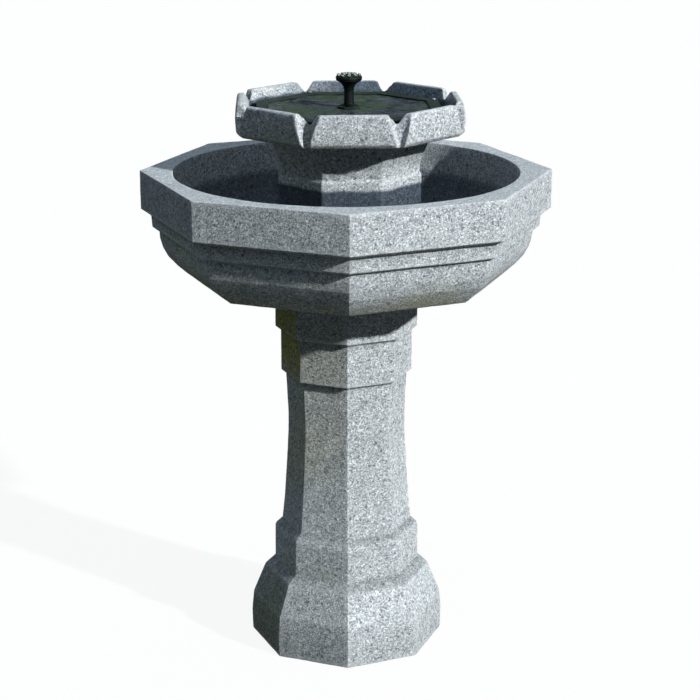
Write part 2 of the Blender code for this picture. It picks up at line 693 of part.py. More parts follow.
def build_motor(look, parent):
    """What drives the impeller: stator, coils, circuit board, back cover and its screws."""
    core_low, core_high = 13 * MM, 25 * MM
    yoke = plain_tube(14.2 * MM, 16.5 * MM, core_low, core_high)
    core = pump_piece("stator_core", yoke, look["steel"], parent)
    leg = box((-2.2 * MM, 10.8 * MM, core_low), (2.2 * MM, 15 * MM, core_high))
    shoe = box((-4 * MM, 10.4 * MM, core_low), (4 * MM, 11.3 * MM, core_high))
    quarters = [about_z(k * math.pi / 2) for k in range(4)]
    weld(core, group([(leg, turn) for turn in quarters]), rotation=ALONG_Y)
    weld(core, group([(shoe, turn) for turn in quarters]), rotation=ALONG_Y)
    coil = winding((2.5 * MM, core_low - GAP), (3.9 * MM, core_low - 2 * MM), core_low + core_high)
    places = [LAID_ALONG_Y @ turn for turn in quarters]
    copies("stator_coil", coil, look["copper"], places, parent)
    board = box((-16 * MM, 34.6 * MM, -10 * MM), (16 * MM, 35.8 * MM, 10 * MM))
    pump_piece("motor_board", board, look["board"], parent, along_y=False)
    wide, high = HOUSING_HALF_WIDTH, HOUSING_HALF_HEIGHT
    back = HOUSING_BACK + GAP
    plate = box((-wide, back, -high), (wide, back + 2.6 * MM, high))
    cover = pump_piece("motor_back_cover", plate, look["black"], parent, along_y=False)
    soften(cover, 1 * MM, 1)
    hole = rod(1.6 * MM, back - 1 * MM, back + 4 * MM, SMALL)
    cut(cover, group([(hole, place) for place in back_screw_places()]), rotation=ALONG_Y)
    screw = pan_screw(2.6 * MM, 1.2 * MM, 11 * MM)
    outward = at(z=back + 2.6 * MM + GAP)
    places = [LAID_ALONG_Y @ place @ outward for place in back_screw_places()]
    copies("back_cover_screw", screw, look["steel"], places, parent)


def winding(inner, outer, ends):
    """A coil of wire round one leg of the core: a flat frame of a corner inside and one outside.

    Each corner is (x, z), mirrored in x and about half of ends, the sum of the core's two ends.
    """
    near, far = 11.6 * MM, 13.4 * MM
    rings = []
    for (x, low), y in ((inner, near), (outer, near), (outer, far), (inner, far)):
        high = ends - low
        corners = ((-x, low), (x, low), (x, high), (-x, high))
        rings.append([Vector((across, y, z)) for across, z in corners])
    return skin(rings, closed=True)


def build_rotor(look, rotor, pump):
    """The turning pieces, and the fixed shaft and bushes that carry them."""
    magnet = plain_tube(2.7 * MM, 7.6 * MM, 8 * MM, 28.6 * MM)
    pump_piece("rotor_magnet", magnet, look["dark"], rotor)
    bore = SHAFT_RADIUS + 0.15 * MM
    hub = tube(
        [
            (bore, -5.2 * MM),
            (3.6 * MM, -5.2 * MM),
            (4 * MM, 2.6 * MM),
            (12.3 * MM, 2.6 * MM),
            (12.3 * MM, 4.4 * MM),
            (4.6 * MM, 4.4 * MM),
            (4.6 * MM, 7.6 * MM),
            (2.4 * MM, 7.6 * MM),
            (2.4 * MM, 29 * MM),
            (bore, 29 * MM),
        ]
    )
    impeller = pump_piece("impeller", hub, look["white"], rotor)
    vane = box((-0.7 * MM, 3 * MM, -4.6 * MM), (0.7 * MM, 12 * MM, 3.2 * MM))
    turns = [about_z(k * math.tau / VANES) for k in range(VANES)]
    weld(impeller, group([(vane, turn) for turn in turns]), rotation=ALONG_Y)
    shaft = rod(SHAFT_RADIUS, -8.6 * MM, 31.1 * MM, SMALL)
    pump_piece("impeller_shaft", shaft, look["ceramic"], pump)
    rear_low, rear_high = 29.4 * MM, ROTOR_WELL_END - GAP
    rear = plain_tube(SHAFT_RADIUS + 0.25 * MM, ROTOR_WELL - GAP, rear_low, rear_high)
    pump_piece("rear_bush", rear, look["rubber"], pump)
    front = plain_tube(SHAFT_RADIUS + 0.25 * MM, 2.3 * MM, -8.7 * MM, -5.6 * MM)
    pump_piece("front_bush", front, look["rubber"], pump)


def build_chamber(look, parent):
    """The impeller chamber: a cup with an inlet eye, a spider for the front bush, and the outlet."""
    outside = CHAMBER_RADIUS + 1.6 * MM
    face = HOUSING_FRONT - GAP
    cup = tube(
        [
            (5.6 * MM, -8.8 * MM),
            (13.4 * MM, -8.8 * MM),
            (outside, -7 * MM),
            (outside, 3.2 * MM),
            (16.8 * MM, 3.2 * MM),
            (16.8 * MM, face),
            (CHAMBER_RADIUS, face),
            (CHAMBER_RADIUS, -6.6 * MM),
            (5.6 * MM, -6.6 * MM),
        ]
    )
    chamber = pump_piece("impeller_chamber", cup, look["black"], parent)
    weld(chamber, plain_tube(2.6 * MM, 3.8 * MM, -8.8 * MM, -5.8 * MM), rotation=ALONG_Y)
    spoke = box((-0.8 * MM, 3.2 * MM, -8.6 * MM), (0.8 * MM, 6.2 * MM, -6.8 * MM))
    thirds = [about_z(k * math.tau / 3) for k in range(3)]
    weld(chamber, group([(spoke, turn) for turn in thirds]), rotation=ALONG_Y)
    outlet = turned([(7.2 * MM, 12.5 * MM), (7.2 * MM, 33 * MM)])
    weld(chamber, outlet, location=(0, -1 * MM, 0))
    cut(chamber, rod(4 * MM, 5 * MM, 35 * MM), location=(0, -1 * MM, 0))
    cut(chamber, rod(RISER_RADIUS + GAP, 20.5 * MM, 35 * MM), location=(0, 0, 0))
    cut(chamber, rod(CHAMBER_RADIUS, -6.6 * MM, HOUSING_FRONT), rotation=ALONG_Y)
    ring = [
        (15.4 * MM + 0.85 * MM * math.cos(a), 7.2 * MM + 0.85 * MM * math.sin(a))
        for a in (k * math.tau / 6 for k in range(6))
    ]
    pump_piece("chamber_seal", tube(ring), look["rubber"], parent)


def sector(inner, outer, spread, low, high):
    """A block the shape of part of a ring, about Z, with its middle towards +Y."""
    steps = 6
    angles = [spread * (k / steps - 0.5) for k in range(steps + 1)]
    outline = [(outer * math.sin(a), outer * math.cos(a)) for a in angles]
    outline += [(inner * math.sin(a), inner * math.cos(a)) for a in reversed(angles)]
    return prism(outline, low, high)


def build_strainer(look, parent):
    """The slotted inlet cover, which slides forwards off the chamber."""
    wide, high, wall = HOUSING_HALF_WIDTH, HOUSING_HALF_HEIGHT, STRAINER_WALL
    back = HOUSING_FRONT - GAP
    cage = pump_piece(
        "inlet_strainer",
        box((-wide, STRAINER_FRONT, -high), (wide, back, high)),
        look["black"],
        parent,
        along_y=False,
    )
    soften(cage, 3 * MM, 1)
    past = back + 5 * MM
    room = box((wall - wide, STRAINER_FRONT + wall, wall - high), (wide - wall, past, high - wall))
    cut(cage, room)
    outlet_gap = box((-7.8 * MM, -9 * MM, high - 5 * MM), (7.8 * MM, past, high + 2 * MM))
    cut(cage, outlet_gap)
    front_slot = box((-1.1 * MM, -2 * MM, -12.5 * MM), (1.1 * MM, 4 * MM, 12.5 * MM))
    columns = [x * MM for x in (-15.6, -12.4, 12.4, 15.6)]
    cut(cage, group([(front_slot, at(x, STRAINER_FRONT)) for x in columns]))
    side_slot = box((-1.1 * MM, -1.1 * MM, -12 * MM), (1.1 * MM, 1.1 * MM, 12 * MM))
    rows = [STRAINER_FRONT + (6 + 4 * k) * MM for k in range(4)]
    places = [at(side * (wide - wall / 2), y) for side in (-1, 1) for y in rows]
    cut(cage, group([(side_slot, place) for place in places]))
    outside, inside = STRAINER_FRONT - 1 * MM, STRAINER_FRONT + 3 * MM
    inlet = sector(4.2 * MM, 8.6 * MM, math.radians(84), outside, inside)
    cut(cage, group([(inlet, Matrix()), (inlet, about_z(math.pi))]), rotation=ALONG_Y)
    cut(cage, rod(2.2 * MM, outside, inside), rotation=ALONG_Y)


def build_regulator(look, parent):
    """The flow control: a pierced disc on a pivot, with a bar to turn it by."""
    face = STRAINER_FRONT - GAP
    disc = pump_piece("flow_regulator", rod(10.6 * MM, face - 2 * MM, face), look["grey"], parent)
    weld(disc, rod(1.9 * MM, face - 1 * MM, STRAINER_FRONT + 4 * MM), rotation=ALONG_Y)
    bar = box((-9 * MM, -1.3 * MM, face - 5.5 * MM), (9 * MM, 1.3 * MM, face - 1 * MM))
    weld(disc, bar, rotation=ALONG_Y)
    gate = sector(4.4 * MM, 8.4 * MM, math.radians(80), face - 4 * MM, face + 1 * MM)
    cut(disc, group([(gate, Matrix()), (gate, about_z(math.pi))]), rotation=ALONG_Y)
    inside = STRAINER_FRONT + STRAINER_WALL + GAP
    clip = plain_tube(2.2 * MM, 3.6 * MM, inside, STRAINER_FRONT + 3.2 * MM, SMALL)
    pump_piece("regulator_clip", clip, look["steel"], parent)


def build_feet(look, parent):
    """Four rubber suction cups, each with a neck in a socket under the motor."""
    foot = BOWL_FLOOR + GAP - PUMP_AXIS
    neck = -HOUSING_HALF_HEIGHT - GAP
    outline = [
        (0, foot + 1.6 * MM),
        (5 * MM, foot + 1.2 * MM),
        (8.2 * MM, foot),
        (8.6 * MM, foot + 0.6 * MM),
        (5.4 * MM, foot + 2.6 * MM),
        (3.6 * MM, foot + 3.4 * MM),
        (3.6 * MM, neck),
        (0, neck),
    ]
    copies("suction_cup", turned(outline, 16), look["rubber"], cup_places(), parent)


def build_cable(look, unit, pump):
    """The lead from the junction box down to the motor, held at both ends."""
    relief = strain_relief(12 * MM)
    top = HOUSING_HALF_HEIGHT + GAP
    placed("pump_strain_relief", relief, look["rubber"], (0, GLAND_Y, top), (0, 0, 0), pump)
    floor = TRAY_BOTTOM - BOX_SIZE[2]
    motor_top = PUMP_AXIS + HOUSING_HALF_HEIGHT
    route = [
        (BOX_CENTRE, 0, floor + 3 * MM),
        (BOX_CENTRE, 0, floor - 8 * MM),
        (BOX_CENTRE, 0, floor - 17 * MM),
        (BOX_CENTRE, 0, floor - 26 * MM),
        (BOX_CENTRE - 2 * MM, 6 * MM, floor - 45 * MM),
        (BOX_CENTRE - 6 * MM, 20 * MM, floor - 75 * MM),
        (BOX_CENTRE - 14 * MM, 32 * MM, floor - 105 * MM),
        (2 * MM, GLAND_Y + 1 * MM, motor_top + 34 * MM),
        (0, GLAND_Y, motor_top + 22 * MM),
        (0, GLAND_Y, motor_top + 13 * MM),
        (0, GLAND_Y, motor_top + 5 * MM),
        (0, GLAND_Y, motor_top - 4 * MM),
    ]
    bent_tube("pump_cable", [Vector(point) for point in route], CABLE_RADIUS, look["rubber"], unit)


def main():
    clear_scene()
    look = {
        "stone": finish("cast_stone", (0.33, 0.35, 0.37), 0.85),
        "black": finish("black_plastic", (0.02, 0.022, 0.024), 0.42),
        "grey": finish("grey_plastic", (0.2, 0.21, 0.22), 0.45),
        "white": finish("white_plastic", (0.7, 0.7, 0.67), 0.4),
        "rubber": finish("black_rubber", (0.025, 0.025, 0.025), 0.75),
        "clear": finish("clear_window", (0.55, 0.6, 0.62), 0.08),
        "cell": finish("solar_cell", (0.015, 0.03, 0.09), 0.22),
        "board": finish("circuit_board", (0.03, 0.09, 0.05), 0.45),
        "dark": finish("ferrite", (0.05, 0.05, 0.055), 0.5),
        "steel": finish("stainless_steel", (0.55, 0.56, 0.58), 0.3, 1.0),
        "copper": finish("enamelled_copper", (0.55, 0.2, 0.07), 0.35, 1.0),
        "ceramic": finish("ceramic", (0.8, 0.79, 0.75), 0.25),
    }
    bowl = frame("bowl_frame")
    tier = frame("tier_frame", (TIER_SHIFT, 0, 0), bowl)
    unit = frame("pump_unit_frame", parent=tier)
    nozzle = frame("nozzle_frame", parent=unit)
    pump = frame("pump_frame", (0, 0, PUMP_AXIS), unit)
    rotor = frame("rotor_frame", parent=pump)
    strainer = frame("strainer_frame", parent=pump)
    regulator = frame("regulator_frame", parent=strainer)

    build_pedestal(look)
    build_bowl(look, bowl)
    build_tier(look, tier)
    build_tray(look, unit)
    build_panel(look, unit)
    build_junction(look, unit)
    build_riser(look, unit)
    build_nozzle(look, nozzle)
    build_housing(look, pump)
    build_motor(look, pump)
    build_rotor(look, rotor, pump)
    build_chamber(look, pump)
    build_strainer(look, strainer)
    build_regulator(look, regulator)
    build_feet(look, pump)
    build_cable(look, unit, pump)


main()
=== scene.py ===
"""The look of the two-tier stone fountain and its solar pump unit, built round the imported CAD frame.

The three castings are rebuilt as fine meshes with soft arrises and a coarse granite-like surface.
The nozzle, its rose and the solar cells are detailed pieces. Every other CAD node keeps its shape
and gets softened edges and a procedural material. Metres, +Z up, as in the frame.
"""

import json
import math

import bmesh
import bpy
import numpy as np
from mathutils import Matrix, Vector, noise


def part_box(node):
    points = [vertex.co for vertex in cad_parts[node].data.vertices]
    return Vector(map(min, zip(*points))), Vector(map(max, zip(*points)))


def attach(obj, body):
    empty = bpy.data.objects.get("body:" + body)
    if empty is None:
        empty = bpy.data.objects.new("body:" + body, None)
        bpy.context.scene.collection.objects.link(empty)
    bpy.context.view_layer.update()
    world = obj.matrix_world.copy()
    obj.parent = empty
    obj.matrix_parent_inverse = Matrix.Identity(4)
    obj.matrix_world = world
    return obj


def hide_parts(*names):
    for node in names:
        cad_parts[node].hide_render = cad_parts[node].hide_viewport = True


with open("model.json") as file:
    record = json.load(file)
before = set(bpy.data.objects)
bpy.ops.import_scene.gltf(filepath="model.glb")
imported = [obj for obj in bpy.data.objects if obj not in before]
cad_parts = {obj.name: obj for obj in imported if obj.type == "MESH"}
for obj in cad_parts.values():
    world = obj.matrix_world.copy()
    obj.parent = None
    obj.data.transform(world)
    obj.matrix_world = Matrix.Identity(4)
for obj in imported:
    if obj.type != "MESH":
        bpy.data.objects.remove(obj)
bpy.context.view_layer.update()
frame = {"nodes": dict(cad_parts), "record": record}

MM = 0.001
CORNERS = 8
HALF_STEP = math.pi / CORNERS
TIER_TURN = math.radians(22.5 + 1.6)

# Profiles as (radius, height, shape) in millimetres. Shape is 1 for an octagon, whose radius is
# its corner's, and 0 for a circle.
PEDESTAL_PROFILE = [
    (130, 0, 1),
    (133.5, 0, 1),
    (134.5, 30, 1),
    (132, 58, 1),
    (114.5, 100.5, 1),
    (100.5, 111, 1),
    (100, 158.5, 1),
    (98.5, 162.5, 1),
    (89.8, 169.5, 1),
    (86.5, 205, 1),
    (83, 254, 1),
    (80.5, 300, 1),
    (80.3, 326, 1),
    (81.5, 352, 1),
    (83, 384, 1),
    (89.5, 387, 1),
    (89.5, 445, 1),
    (97, 449, 1),
    (97, 521, 1),
    (46, 521, 0),
    (46, 509, 0),
    (88, 509, 1),
    (88, 456, 1),
    (80, 444, 1),
    (80, 394, 1),
    (71, 380, 1),
    (72, 254, 1),
    (80, 172, 1),
    (91, 152, 1),
    (91.5, 108, 1),
    (104, 92, 1),
    (124.5, 52, 1),
    (126, 0, 1),
    (130, 0, 1),
]
BOWL_PROFILE = [
    (0, 521.3, 0),
    (37, 521.3, 0),
    (37, 507.3, 0),
    (45, 507.3, 0),
    (45, 521.3, 0),
    (212, 521.3, 1),
    (217.5, 525.5, 1),
    (229, 535.5, 1),
    (240, 547.5, 1),
    (247, 560.5, 1),
    (250.5, 573, 1),
    (251.5, 584, 1),
    (260.5, 588, 1),
    (262, 606.5, 1),
    (275, 612.5, 1),
    (275, 665, 1),
    (231, 665, 0),
    (226.5, 634, 0),
    (218.5, 602, 0),
    (205, 572, 0),
    (186, 549, 0),
    (158, 536, 0),
    (120, 533, 0),
    (82.5, 533, 0),
    (82.5, 539, 0),
    (77.5, 539, 0),
    (77.5, 533, 0),
    (0, 533, 0),
]
PLAN_ROUNDING = 1.8 * MM
PROFILE_ROUNDING = 1.3 * MM
LOFT_STEP = 5 * MM
CORNER_POINTS = 5
TIER_VOXEL = 1.6 * MM
CROWN_FOOT = 719.5 * MM

# Where the castings weather and get painted shade. A pair of heights is where a stain or a painted shade
# starts and where it is full.
HEAD_MOSS_AND_SHADE = (370 * MM, 430 * MM)
BASE_LEFT_SHADE = (106 * MM, 98 * MM)
FOOT_DARKENING = (52 * MM, 44 * MM)
BOWL_MOSS = (550 * MM, 526 * MM)
BASIN_FLOOR = 531 * MM
BAND_TOP = 606 * MM
BOWL_RIM = 663 * MM
BOWL_WET_LINE = 625 * MM
NECK_WET_LINE = 655 * MM
NECK_SHADE = (668 * MM, 693 * MM)
CROWN_WET_LINE = 751 * MM
CROWN_RIM = 755 * MM
CROWN_TOOLED = (CROWN_FOOT + 24 * MM, CROWN_FOOT + 32 * MM)
CROWN_BASIN_REACH = 143 * MM
CROWN_INNER_WALL_REACH = 125 * MM
CASTING_EDGE = 0.22 * MM
TIER_EDGE = 0.3 * MM

# The spray head's outlines as (radius, height) in millimetres from the top of its body.
GRIP_HEIGHT = 3.2
GRIP_RIBS = 24
TRUMPET = [
    (6.3, -22),
    (6.4, -16.5),
    (6.9, -12.4),
    (7.9, -9),
    (9.7, -6.2),
    (12.2, -4),
    (15.0, -2.4),
    (16.8, -1.3),
    (17.1, 0),
]
THROAT = [
    (14.5, 0),
    (12.5, -1),
    (9, -3.2),
    (6.6, -6.4),
    (5.1, -10.5),
    (4.4, -15),
    (4.4, -16.5),
    (5.85, -17.2),
]
BORE_RADIUS = 5.85
ROSE_BEAD = [(14.5, 0.4), (16.7, 0.3), (17.3, 0.8), (17.4, 2.2), (17.2, 3.2), (16.4, 4.0)]
ROSE_DOME = [(14.4, 4.8), (12.4, 5.3), (9.4, 5.8), (6, 6.2), (2.2, 6.4)]
ROSE_UNDER = [(2, 4.9), (6, 4.7), (9.8, 4), (13, 2.6), (14.5, 1.2)]
COLLAR = [(0.8, -0.9), (2.2, -0.9), (2.15, 0.7), (2.0, 1.9), (1.7, 2.3), (1.1, 2.3), (0.8, 1.9)]
# Rings of jet collars: how many, their radius and height in millimetres, and their outward lean.
COLLAR_RINGS = ((10, 14.3, 4.6, 0.35), (5, 7.0, 5.9, 0.15))
LIMED_ABOVE = 5.6 * MM
UNDER_WATER = ("panel_bezel", "panel_tray", "hub_nut")

CELL_PITCH = 29.5 * MM
CELL_SIZE = 28 * MM
CELL_CUT = 2.5 * MM
CELL_REACH = 3
RIBBON_OFFSET = 7 * MM
RIBBON_WIDTH = 1.1 * MM
RIBBON_THICKNESS = 0.14 * MM
HUB_CLEARANCE = 13 * MM

# The studio's outline as (radius, height) in metres.
STUDIO = [(0.001, 0), (3, 0), (9, 0), (16, 0), (19, 0.6), (21, 2.4), (22, 6), (22, 30)]
STUDIO_SIDES = 64
STUDIO_FLOOR_REACH = 16
# Name, azimuth, elevation, strength, softness and colour. Angles are in degrees.
SUNS = (
    ("key", 52, 28, 5.7, 2, (0.99, 0.99, 0.985)),
    ("sky", -140, 82, 1.15, 110, (0.70, 0.85, 1.0)),
)
FILL_COLOUR = (0.80, 0.92, 1.0, 1)
FILL_STRENGTH = 0.115
CAMERA_LENS = 97.54
CAMERA_PLACE = (-0.0378, -2.490, 1.161)
CAMERA_TURN = (math.radians(73.303), 0, math.radians(-0.983))


# --- small helpers for meshes ---------------------------------------------------------------


def linked(name, mesh, body):
    obj = bpy.data.objects.new(name, mesh)
    bpy.context.scene.collection.objects.link(obj)
    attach(obj, body)
    return obj


def mesh_from(bm, name):
    bmesh.ops.recalc_face_normals(bm, faces=bm.faces)
    mesh = bpy.data.meshes.new(name)
    bm.to_mesh(mesh)
    bm.free()
    return mesh


def rounded(profile, reach):
    """The line of (radius, height, shape) points with each corner replaced by a small curve."""
    points = [Vector((r * MM, z * MM, s)) for r, z, s in profile]
    made = [points[0]]
    for before, here, after in zip(points, points[1:], points[2:]):
        back = min(reach, 0.45 * (before - here).xy.length) / (before - here).xy.length
        forth = min(reach, 0.45 * (after - here).xy.length) / (after - here).xy.length
        start = here.lerp(before, back)
        end = here.lerp(after, forth)
        for t in (0.0, 0.33, 0.67, 1.0):
            made.append(start.lerp(here, t).lerp(here.lerp(end, t), t))
    made.append(points[-1])
    return made


def spaced(line, step):
    made = [line[0]]
    for start, end in zip(line, line[1:]):
        pieces = max(1, round((end - start).xy.length / step))
        made += [start.lerp(end, k / pieces) for k in range(1, pieces + 1)]
    return made


def plan_ring(radius, per_face):
    """Points of a level octagon with rounded corners, the first corner towards -Y."""
    rounding = min(PLAN_ROUNDING, 0.3 * radius)
    ring = []
    for corner in range(CORNERS):
        angle = corner * 2 * HALF_STEP
        hub = radius - rounding / math.cos(HALF_STEP)
        for k in range(CORNER_POINTS):
            a = angle + HALF_STEP * (2 * k / (CORNER_POINTS - 1) - 1)
            x = hub * math.sin(angle) + rounding * math.sin(a)
            y = -hub * math.cos(angle) - rounding * math.cos(a)
            ring.append(Vector((x, y)))
        nexta = angle + 2 * HALF_STEP
        end = Vector((hub * math.sin(nexta), -hub * math.cos(nexta)))
        turn = nexta - HALF_STEP
        end += rounding * Vector((math.sin(turn), -math.cos(turn)))
        start = ring[-1].copy()
        ring += [start.lerp(end, k / per_face) for k in range(1, per_face)]
    return ring


def loft(name, profile, per_face, closed):
    """A casting's mesh: the profile carried round the octagon, blending to a circle where it says so."""
    line = spaced(rounded(profile, PROFILE_ROUNDING), LOFT_STEP)
    if closed:
        line.pop()
    bm = bmesh.new()
    rings = []
    for radius, height, shape in line:
        if radius < 0.5 * MM:
            rings.append([bm.verts.new((0, 0, height))])
            continue
        corners = plan_ring(radius, per_face)
        round_ones = [point.normalized() * radius for point in corners]
        ring = [b.lerp(a, shape) for a, b in zip(corners, round_ones)]
        rings.append([bm.verts.new((p.x, p.y, height)) for p in ring])
    pairs = list(zip(rings, rings[1:]))
    if closed:
        pairs.append((rings[-1], rings[0]))
    for lower, upper in pairs:
        count = max(len(lower), len(upper))
        for k in range(count):
            quad = [lower[k % len(lower)], lower[(k + 1) % len(lower)]]
            quad += [upper[(k + 1) % len(upper)], upper[k % len(upper)]]
            bm.faces.new(dict.fromkeys(quad))
    return mesh_from(bm, name)


def points_of(mesh):
    points = np.empty(len(mesh.vertices) * 3)
    mesh.vertices.foreach_get("co", points)
    return points.reshape(-1, 3)


def normals_of(mesh):
    normals = np.empty(len(mesh.vertices) * 3)
    mesh.vertices.foreach_get("normal", normals)
    return normals.reshape(-1, 3)


def edges_of(mesh):
    edges = np.empty(len(mesh.edges) * 2, np.int64)
    mesh.edges.foreach_get("vertices", edges)
    return edges.reshape(-1, 2)


def set_points(mesh, points):
    mesh.vertices.foreach_set("co", points.astype(np.float32).ravel())
    mesh.update()


def averaged(points, edges, rounds, strength=0.5):
    """The points after each has moved part of the way to its neighbours' mean, several times."""
    a, b = edges.T
    size = len(points)
    count = np.maximum(np.bincount(edges.ravel(), minlength=size), 1)
    share = np.broadcast_to(strength, size)[:, None]
    for _ in range(rounds):
        sums = [
            np.bincount(a, points[b, k], size) + np.bincount(b, points[a, k], size)
            for k in range(3)
        ]
        mean = np.stack(sums, 1) / count[:, None]
        points = points + share * (mean - points)
    return points


def ramped(values, start, full):
    """0 up to start, 1 from full on and even between them; full may be the smaller of the two."""
    return np.clip((values - start) / (full - start), 0, 1)


def facing_left(normals):
    return np.clip(-1.2 * normals[:, 0], 0, 1)


def field(points, scale, seed):
    """Smooth noise at each point, from about -1 to 1."""
    shift = Vector((seed * 7.3, seed * 3.1, seed * 5.7))
    return np.array([noise.noise(Vector(p) * scale + shift) for p in points])


def store(mesh, name, values):
    layer = mesh.attributes.new(name, "FLOAT", "POINT")
    layer.data.foreach_set("value", values.astype(np.float32))


def weather(mesh, reach, extra_moss_and_shade=0.0):
    """Roughens a casting and stores where it is worn, where its creases get painted shade with some dirt,
    and where it gets moss and painted shade.
    """
    points, edges, normals = points_of(mesh), edges_of(mesh), normals_of(mesh)
    bend = ((points - averaged(points, edges, 2)) * normals).sum(1) / reach
    ripple = 0.35 * MM * field(points, 28, 1) + 0.16 * MM * field(points, 110, 2)
    store(mesh, "worn", np.clip(bend, 0, 1))
    # Concave creases get painted shade with some dirt.
    store(mesh, "crease_dirt_and_shade", np.clip(-bend, 0, 1))
    # Faces turned from the key light (left, back, down) get painted shade with an olive tint, mixed with
    # moss from the noise.
    shade = -0.55 * normals[:, 0] + 0.15 * normals[:, 1] - 0.65 * normals[:, 2]
    moss_and_shade_level = 0.45 * shade + 0.4 * field(points, 9, 3) + extra_moss_and_shade
    store(mesh, "moss_and_shade", np.clip(moss_and_shade_level, 0, 1))
    set_points(mesh, points + ripple[:, None] * normals)


def wet_below(points, line, soft=3 * MM):
    """How wet each point is: 1 well below the water line, which wavers a little, and 0 above."""
    wavering = line + 2 * MM * field(points, 35, 4)
    return np.clip((wavering - points[:, 2]) / soft + 0.5, 0, 1)


# --- materials --------------------------------------------------------------------------------


class Look:
    """A material under construction: each call adds a node and gives back its output."""

    def __init__(self, name, roughness=0.5, metallic=0.0, specular=0.5):
        self.material = bpy.data.materials.new(name)
        self.material.use_nodes = True
        self.tree = self.material.node_tree
        self.shader = self.tree.nodes["Principled BSDF"]
        self.put("Roughness", roughness)
        self.put("Metallic", metallic)
        self.put("Specular IOR Level", specular)
        coordinates = self.tree.nodes.new("ShaderNodeTexCoord")
        self.place = coordinates.outputs["Object"]

    def put(self, socket, value):
        self.feed(self.shader.inputs[socket], value)

    def feed(self, socket, value):
        if isinstance(value, bpy.types.NodeSocket):
            self.tree.links.new(value, socket)
        elif isinstance(value, tuple) and len(value) == 3 and socket.type == "RGBA":
            socket.default_value = (*value, 1)
        else:
            socket.default_value = value

    def node(self, kind, inputs, **settings):
        made = self.tree.nodes.new(kind)
        for key, value in settings.items():
            setattr(made, key, value)
        for key, value in inputs.items():
            self.feed(made.inputs[key], value)
        return made

    def attribute(self, name):
        return self.node("ShaderNodeAttribute", {}, attribute_name=name).outputs["Fac"]

    def moved(self, scale=(1, 1, 1), turn=0.0):
        inputs = {"Vector": self.place, "Scale": scale, "Rotation": (0, 0, turn)}
        return self.node("ShaderNodeMapping", inputs).outputs[0]

    def noise(self, scale, detail=4.0, rough=0.6, vector=None):
        inputs = {"Vector": vector or self.place, "Scale": scale, "Detail": detail}
        inputs["Roughness"] = rough
        return self.node("ShaderNodeTexNoise", inputs).outputs["Fac"]

    def cells(self, scale, vector=None):
        inputs = {"Vector": vector or self.place, "Scale": scale}
        made = self.node("ShaderNodeTexVoronoi", inputs)
        return made.outputs["Distance"], made.outputs["Color"]

    def waves(self, scale, direction, vector=None, distort=0.0):
        inputs = {"Vector": vector or self.place, "Scale": scale, "Distortion": distort}
        made = self.node("ShaderNodeTexWave", inputs, bands_direction=direction)
        return made.outputs["Fac"]

    def calc(self, operation, a, b=0.0, clamp=False):
        made = self.node("ShaderNodeMath", {0: a, 1: b}, operation=operation, use_clamp=clamp)
        return made.outputs[0]

    def ramp(self, value, stops):
        """A colour or a grey level from a value; stops are (place, colour or level)."""
        made = self.node("ShaderNodeValToRGB", {0: value})
        band = made.color_ramp
        while len(band.elements) < len(stops):
            band.elements.new(0.5)
        for element, (place, colour) in zip(band.elements, stops):
            element.position = place
            element.color = (*colour, 1) if isinstance(colour, tuple) else (colour,) * 3 + (1,)
        return made.outputs[0]

    def mix(self, factor, a, b, blend="MIX"):
        made = self.node("ShaderNodeMix", {}, data_type="RGBA", blend_type=blend)
        for index, value in ((0, factor), (6, a), (7, b)):
            self.feed(made.inputs[index], value)
        return made.outputs[2]

    def bump(self, height, distance, strength=1.0):
        inputs = {"Height": height, "Distance": distance, "Strength": strength}
        made = self.node("ShaderNodeBump", inputs)
        if self.shader.inputs["Normal"].is_linked:
            earlier = self.shader.inputs["Normal"].links[0].from_socket
            self.tree.links.new(earlier, made.inputs["Normal"])
        self.put("Normal", made.outputs[0])


